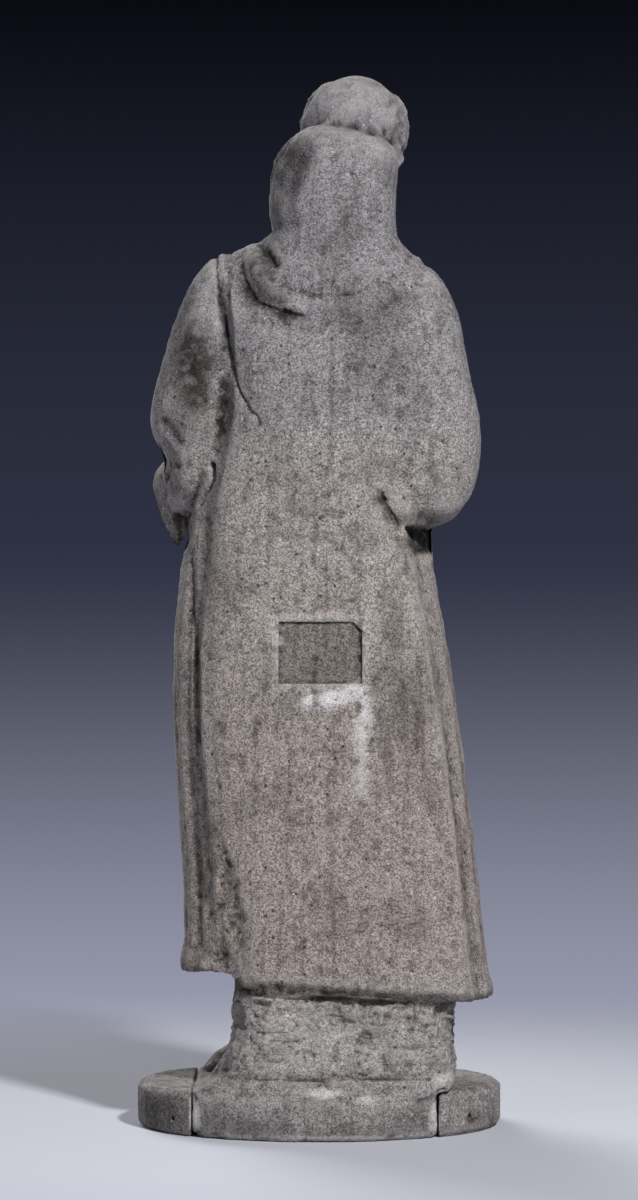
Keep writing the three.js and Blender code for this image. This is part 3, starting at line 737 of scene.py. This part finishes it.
def weathered_limestone():
    """Sandy limestone, carved by hand and left outdoors.

    It is matt all over, an open grit of pale and dark grains, whose dark specks are painted shade of tiny
    pits.
    Sooty grime and painted shade darken its hollows and the folds that turn from the light, rain has washed
    its shoulders to a cool grey, earth has tinted its skirt, and edges are rubbed pale.
    """
    sizes = bpy.context.scene.statue_sizes
    colours = bpy.context.scene.statue_colours
    material = bpy.data.materials.new("weathered_limestone")
    material.use_nodes = True
    tree = material.node_tree
    tree.nodes.clear()
    spot = add_node(tree, "ShaderNodeTexCoord").outputs["Object"]
    long = add_node(tree, "ShaderNodeMapping", {"Vector": spot, "Scale": (1.0, 1.0, 0.09)}).outputs[0]
    span = ("Value", "From Min", "From Max", "To Min", "To Max")
    smooth = {"interpolation_type": "SMOOTHSTEP"}

    marks = {}
    for name in ("rubbed", "warm", "cool", "ridge", "soot_and_shade", "hollow", "plaster", "rust"):
        marks[name] = add_node(tree, "ShaderNodeAttribute", attribute_name=name).outputs["Fac"]
    # Sizes of the clouds in millimetres. The real grit is finer than the render can show, so it is drawn as
    # coarse as it needs to show, about 1 mm wide.
    clouds = {}
    for name, size, detail, where in (
        ("grit", 1.3 * sizes.grain / MM, 2.0, spot),
        ("blotch", 9.0, 4.0, spot),
        ("broad", 48.0, 3.0, spot),
        ("streak", 7.0, 3.0, long),
    ):
        inputs = {"Vector": where, "Scale": 1 / (size * MM), "Detail": detail}
        clouds[name] = add_node(tree, "ShaderNodeTexNoise", inputs).outputs["Fac"]
    blotch = clouds["blotch"]

    cells = add_node(tree, "ShaderNodeTexVoronoi", {"Vector": spot, "Scale": 1 / sizes.grain})
    tone = add_node(tree, "ShaderNodeSeparateColor", {0: cells.outputs["Color"]}).outputs[0]
    mixed = add_node(tree, "ShaderNodeMath", {0: tone, 1: clouds["grit"]}).outputs[0]
    mixed = add_node(tree, "ShaderNodeMapRange", dict(zip(span, (mixed, 0.3, 1.7))), **smooth).outputs[0]
    calm = add_node(tree, "ShaderNodeMath", {0: marks["rubbed"], 1: 0.4}, operation="MULTIPLY").outputs[0]
    grit = add_node(tree, "ShaderNodeMix", {0: calm, 2: mixed, 3: 0.6}, data_type="FLOAT").outputs[0]

    specks = add_node(tree, "ShaderNodeTexVoronoi", {"Vector": spot, "Scale": 1 / (6 * sizes.grain)})
    speck = specks.outputs["Distance"]
    kind = add_node(tree, "ShaderNodeSeparateColor", {0: specks.outputs["Color"]}).outputs[0]
    few = {}
    for name, ends in (("dark", (0.86, 0.88, 0.0, 0.8)), ("pale", (0.2, 0.15, 0.0, 0.6))):
        few[name] = add_node(tree, "ShaderNodeMapRange", dict(zip(span, (kind, *ends))), **smooth).outputs[0]

    pale, dark, soot_and_shade, plaster = (
        tuple(colour) for colour in (colours.pale, colours.dark, colours.soot_and_shade, colours.plaster))
    chalky = add_node(tree, "ShaderNodeMapRange", dict(zip(span, (grit, 0.0, 0.6))), **smooth).outputs[0]
    chalk = add_node(tree, "ShaderNodeMix", {0: chalky, 6: pale, 7: plaster}, data_type="RGBA").outputs[2]
    colour = add_node(tree, "ShaderNodeMix", {0: grit, 6: dark, 7: pale}, data_type="RGBA").outputs[2]
    # Each layer has the pattern it follows with that pattern's ends, the mark that holds it, its colour and
    # how it is laid over the grit.
    for pattern, ends, held, over, how in (
        # The dark specks are painted shade of tiny pits in the grit, laid on as colour beside the pits' bump.
        (speck, (0.3, 0.12), few["dark"], soot_and_shade, "MULTIPLY"),
        (speck, (0.25, 0.1), few["pale"], plaster, "MIX"),
        (blotch, (0.52, 0.3, 0.0, 0.45), None, soot_and_shade, "MULTIPLY"),
        (clouds["broad"], (0.52, 0.3, 0.0, 0.3), None, soot_and_shade, "MULTIPLY"),
        (clouds["streak"], (0.5, 0.3, 0.0, 0.35), None, soot_and_shade, "MULTIPLY"),
        (None, (), marks["warm"], tuple(colours.warm), "MULTIPLY"),
        (None, (), marks["cool"], tuple(colours.cool), "MULTIPLY"),
        (blotch, (0.6, 0.4, 0.1, 0.4), marks["ridge"], pale, "MIX"),
        # The next two layers: grime with painted shade and shadow in the listed patches, and grime with
        # painted shade in hollows.
        (blotch, (0.3, 0.6, 0.5, 1.0), marks["soot_and_shade"], soot_and_shade, "MULTIPLY"),
        (blotch, (0.25, 0.55, 0.7, 1.0), marks["hollow"], soot_and_shade, "MULTIPLY"),
        (blotch, (0.33, 0.5), marks["plaster"], chalk, "MIX"),
        (blotch, (0.35, 0.6), marks["rust"], tuple(colours.rust), "MULTIPLY"),
    ):
        share = held
        if pattern is not None:
            reach = dict(zip(span, (pattern, *ends)))
            share = add_node(tree, "ShaderNodeMapRange", reach, **smooth).outputs[0]
        if pattern is not None and held is not None:
            share = add_node(tree, "ShaderNodeMath", {0: held, 1: share}, operation="MULTIPLY").outputs[0]
        layer = {0: share, 6: colour, 7: over}
        colour = add_node(tree, "ShaderNodeMix", layer, data_type="RGBA", blend_type=how).outputs[2]

    pits = dict(zip(span, (speck, 0.3, 0.1, 0.0, -0.7)))
    pits = add_node(tree, "ShaderNodeMapRange", pits, **smooth).outputs[0]
    height = add_node(tree, "ShaderNodeMath", {0: grit, 1: pits}).outputs[0]
    rough = add_node(tree, "ShaderNodeBump", {"Strength": 0.6, "Distance": 1.0 * MM, "Height": height})
    shader = add_node(
        tree,
        "ShaderNodeBsdfPrincipled",
        {"Base Color": colour, "Roughness": 0.93, "Specular IOR Level": 0.25, "Normal": rough.outputs[0]},
    )
    add_node(tree, "ShaderNodeOutputMaterial", {"Surface": shader.outputs[0]})
    return material


def paint(piece):
    """Stores where tint, sooty grime, painted shade, plaster, rust, hollows and edges show, and gives a piece
    its stone.
    """
    points = places(piece)
    out = normals(piece)
    # Grime and painted shade in hollows: darker in small creases, and softly in the wide folds as ambient
    # shade.
    small = ((soften(piece, 8) - points) * out).sum(1)
    wide = ((soften(piece, 60) - points) * out).sum(1)
    hollow = np.maximum(ease(small, 0.2, 1.1), 0.4 * ease(wide, 0.8, 5))
    z = points[:, 2]
    on_block = 0.6 * (1 - ease(z, 100, 110)) * ease(z, 48, 54)
    keep_value(piece, "hollow", hollow * (1 - on_block))
    keep_value(piece, "ridge", ease(-small, 0.2, 1.0))
    carved = [near(points, HEAD_CENTRE, 80), near(points, LEFT_HAND, 40), near(points, RIGHT_HAND, 50)]
    keep_value(piece, "rubbed", np.maximum.reduce(carved))
    keep_value(piece, "warm", (1 - ease(z, 230, 640)) * ease(z, 70, 150))
    keep_value(piece, "cool", np.maximum(ease(z, 480, 660), 0.4 * (1 - ease(z, 45, 70))))
    beyond = beyond_recess(points)
    warp = 1 + 0.7 * grit_at(points, 17, 17)
    soot_and_shade = patch_values(points, out, SOOT_AND_SHADE_PATCHES, warp)
    # The recess floor is darkened too.
    soot_and_shade = np.maximum(soot_and_shade, 0.45 * ease(-beyond, 0, 1.5))
    # A band of painted shade, with some grime, on the hem's underside where it slopes in to the block.
    drop = hem_height(points[:, 0]) + 8 - z
    band = ease(drop, 0, 4) * (1 - ease(drop, 10, 15)) * ease(points[:, 1], 0, 30) * (z > 80)
    keep_value(piece, "soot_and_shade", np.maximum(soot_and_shade, 0.7 * band))
    margin = ease(beyond, 0, 1) * (1 - ease(beyond, 3, 9))
    plaster = patch_values(points, out, PLASTER_PATCHES, warp)
    keep_value(piece, "plaster", np.maximum(plaster, 0.16 * margin))
    keep_value(piece, "rust", patch_values(points, out, RUST_PATCHES, warp))
    material = bpy.data.materials.get("weathered_limestone") or weathered_limestone()
    piece.data.materials.clear()
    piece.data.materials.append(material)
    only(piece)
    bpy.ops.object.shade_smooth()


def settle(piece, node):
    """Makes a carved piece stand for its CAD node."""
    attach(piece, "root")
    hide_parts(node)


def cut_recess(piece, plane):
    """Cuts the squared recess with its tooled floor and one cut corner into the back."""
    bpy.ops.object.select_all(action="DESELECT")
    upright = (-math.pi / 2, 0, 0)
    bpy.ops.mesh.primitive_grid_add(x_subdivisions=36, y_subdivisions=28, size=1, rotation=upright)
    cutter = bpy.context.object
    cutter.scale = (RECESS["width"] * MM, RECESS["height"] * MM, 1)
    cutter.location = Vector((RECESS["x"], 0, RECESS["z"])) * MM
    bpy.ops.object.transform_apply()
    floor = places(cutter)
    marks = 0.8 * grit_at(floor, 7, 3.4) + 0.5 * grit_at(floor, 3, 3)
    floor[:, 1] = recess_terms(floor) @ plane - RECESS["deep"] + marks
    move_to(cutter, floor)
    bpy.ops.object.mode_set(mode="EDIT")
    bpy.ops.mesh.select_all(action="SELECT")
    bpy.ops.mesh.extrude_region_move(TRANSFORM_OT_translate={"value": (0, RECESS["reach"] * MM, 0)})
    bpy.ops.mesh.select_all(action="SELECT")
    left = RECESS["x"] - RECESS["width"] / 2
    corner = Vector((left, 0, RECESS["z"] + RECESS["height"] / 2 - RECESS["corner"])) * MM
    bpy.ops.mesh.bisect(plane_co=corner, plane_no=(-1, 0, 1), use_fill=True, clear_outer=True)
    bpy.ops.mesh.select_all(action="SELECT")
    bpy.ops.mesh.normals_make_consistent(inside=False)
    bpy.ops.object.mode_set(mode="OBJECT")
    finish_with(piece, "BOOLEAN", operation="DIFFERENCE", object=cutter, solver="EXACT")
    bpy.data.objects.remove(cutter)


class STATUE_OT_figure(bpy.types.Operator):
    """Carves the friar, its support block and the middle of the plinth from one stone"""

    bl_idname = "statue.figure"
    bl_label = "Carve the figure"

    def execute(self, context):
        sizes = context.scene.statue_sizes
        step = sizes.step
        piece = rough_block("figure", "figure_stone", step, 2)
        points = places(piece)
        fine = np.maximum(fine_carving(points), 1 - ease(points[:, 2], 120, 135))
        group = weigh(piece, "broad", 1 - 0.85 * fine)
        finish_with(piece, "SMOOTH", factor=0.5, iterations=14, vertex_group=group)
        local = head_places(points)
        face = near(points, HEAD_CENTRE, FACE_REACH) * ease(-local[:, 1], 8, 14)
        face = face * (1 - ease(local[:, 2], 8, 14))
        kept = [face, near(points, LEFT_HAND, 40), near(points, RIGHT_HAND, 62)]
        detail = weigh(piece, "detail", 1 - np.maximum.reduce(kept))
        refine(piece, face > 0.5)
        carve_face(piece)
        plane = close_recess(piece)
        wear_steps(piece)
        carve_lines(piece)
        set_back(piece)
        rough_hair(piece)
        break_corner(piece)
        square_hem(piece)
        round_hem(piece)
        slope_lip(piece)
        tool_block(piece)
        chip_edges(piece)
        points = places(piece)
        calm = 1 - 0.75 * fine_carving(points)
        wear = sizes.wear / MM
        displace(piece, 28, 1.8 * wear, calm, "worn_broad")
        displace(piece, 8, 1.1 * wear, calm, "worn_small")
        displace(piece, 3.6, 0.7 * wear, calm, "worn_grit")
        pit(piece, np.random.default_rng(SEED))
        finish_with(piece, "TRIANGULATE")
        ratio = sizes.faces / len(piece.data.polygons)
        finish_with(piece, "DECIMATE", ratio=ratio, vertex_group=detail, vertex_group_factor=1)
        cut_recess(piece, plane)
        finish_with(piece, "TRIANGULATE")
        paint(piece)
        settle(piece, "figure")
        return {"FINISHED"}


class STATUE_OT_plinth_ends(bpy.types.Operator):
    """Carves the two stones that complete the plinth at its sides"""

    bl_idname = "statue.plinth_ends"
    bl_label = "Carve the plinth ends"

    def execute(self, context):
        sizes = context.scene.statue_sizes
        for node in ("plinth_left_end", "plinth_right_end"):
            piece = rough_block(node, node + "_stone", sizes.end_step, 0)
            everywhere = np.ones(len(piece.data.vertices))
            finish_with(piece, "SMOOTH", factor=0.5, iterations=3)
            chip_edges(piece)
            wear = sizes.wear / MM
            displace(piece, 9, 0.8 * wear, everywhere, node + "_small")
            displace(piece, 3.6, 0.6 * wear, everywhere, node + "_grit")
            paint(piece)
            settle(piece, node)
        return {"FINISHED"}


class STATUE_OT_stage(bpy.types.Operator):
    """Lays the pale floor, hangs the soft lights and sets the camera behind the statue"""

    bl_idname = "statue.stage"
    bl_label = "Set the stage"

    def execute(self, context):
        scene = context.scene
        scene.view_settings.view_transform = "Standard"
        bpy.ops.object.select_all(action="DESELECT")
        bpy.ops.mesh.primitive_circle_add(vertices=96, radius=FLOOR_RADIUS, fill_type="NGON")
        floor = context.object
        floor.name = "floor"
        paper = bpy.data.materials.new("floor_paper")
        paper.use_nodes = True
        tree = paper.node_tree
        tree.nodes.clear()
        spot = add_node(tree, "ShaderNodeTexCoord").outputs["Object"]
        away = add_node(tree, "ShaderNodeVectorMath", {0: spot}, operation="LENGTH").outputs["Value"]
        gone = {"Value": away, "From Min": FLOOR_FADE[0], "From Max": FLOOR_FADE[1]}
        gone = add_node(tree, "ShaderNodeMapRange", gone, interpolation_type="SMOOTHSTEP").outputs[0]
        sheet = add_node(tree, "ShaderNodeBsdfDiffuse", {"Color": linear("caccd6")}).outputs[0]
        clear = add_node(tree, "ShaderNodeBsdfTransparent").outputs[0]
        faded = add_node(tree, "ShaderNodeMixShader", {0: gone, 1: sheet, 2: clear}).outputs[0]
        add_node(tree, "ShaderNodeOutputMaterial", {"Surface": faded})
        floor.data.materials.append(paper)

        world = bpy.data.worlds.new("studio")
        scene.world = world
        world.use_nodes = True
        tree = world.node_tree
        tree.nodes.clear()
        way = add_node(tree, "ShaderNodeTexCoord").outputs["Generated"]
        rise = add_node(tree, "ShaderNodeSeparateXYZ", {0: way}).outputs["Z"]
        backdrop = linear("a1a4b7")
        for low, high, colour in ((-0.15, 0.02, "303344"), (-0.02, 0.2, "000002")):
            share = {"Value": rise, "From Min": low, "From Max": high}
            share = add_node(tree, "ShaderNodeMapRange", share, interpolation_type="SMOOTHSTEP").outputs[0]
            mixed = {0: share, 6: backdrop, 7: linear(colour)}
            backdrop = add_node(tree, "ShaderNodeMix", mixed, data_type="RGBA").outputs[2]
        light = add_node(tree, "ShaderNodeBackground", {"Color": backdrop, "Strength": 1.0})
        add_node(tree, "ShaderNodeOutputWorld", {"Surface": light.outputs[0]})

        for name, place, size, power, spread in LAMPS:
            bpy.ops.object.light_add(type="AREA", location=place)
            lamp = context.object
            lamp.name = name
            lamp.data.size = size
            lamp.data.energy = power
            lamp.data.spread = math.radians(spread)
            aim = Vector(LAMP_TARGET) - Vector(place)
            lamp.rotation_euler = aim.to_track_quat("-Z", "Y").to_euler()

        bpy.ops.object.camera_add(location=CAMERA_PLACE, rotation=(math.pi / 2, 0, math.pi))
        camera = context.object
        camera.data.sensor_width = SENSOR_WIDTH
        camera.data.lens = LENS
        scene.camera = camera
        return {"FINISHED"}


class STATUE_PT_panel(bpy.types.Panel):
    """Lists the statue's pieces, sizes and colours"""

    bl_idname = "STATUE_PT_panel"
    bl_label = "Saint statue"
    bl_space_type = "VIEW_3D"
    bl_region_type = "UI"
    bl_category = "Statue"

    def draw(self, context):
        for operator in OPERATORS:
            self.layout.operator(operator.bl_idname)
        for group in (context.scene.statue_sizes, context.scene.statue_colours):
            for name in group.__annotations__:
                self.layout.prop(group, name)


OPERATORS = (STATUE_OT_figure, STATUE_OT_plinth_ends, STATUE_OT_stage)
CLASSES = (StatueSizes, StoneColours, *OPERATORS, STATUE_PT_panel)


def register():
    """Adds the classes and the scene's settings."""
    for item in CLASSES:
        bpy.utils.register_class(item)
    bpy.types.Scene.statue_sizes = bpy.props.PointerProperty(type=StatueSizes)
    bpy.types.Scene.statue_colours = bpy.props.PointerProperty(type=StoneColours)


def unregister():
    """Takes the settings and the classes away again."""
    del bpy.types.Scene.statue_colours
    del bpy.types.Scene.statue_sizes
    for item in reversed(CLASSES):
        bpy.utils.unregister_class(item)


def main():
    """Builds the pieces and the stage."""
    register()
    bpy.ops.statue.figure()
    bpy.ops.statue.plinth_ends()
    bpy.ops.statue.stage()


if __name__ == "__main__":
    main()
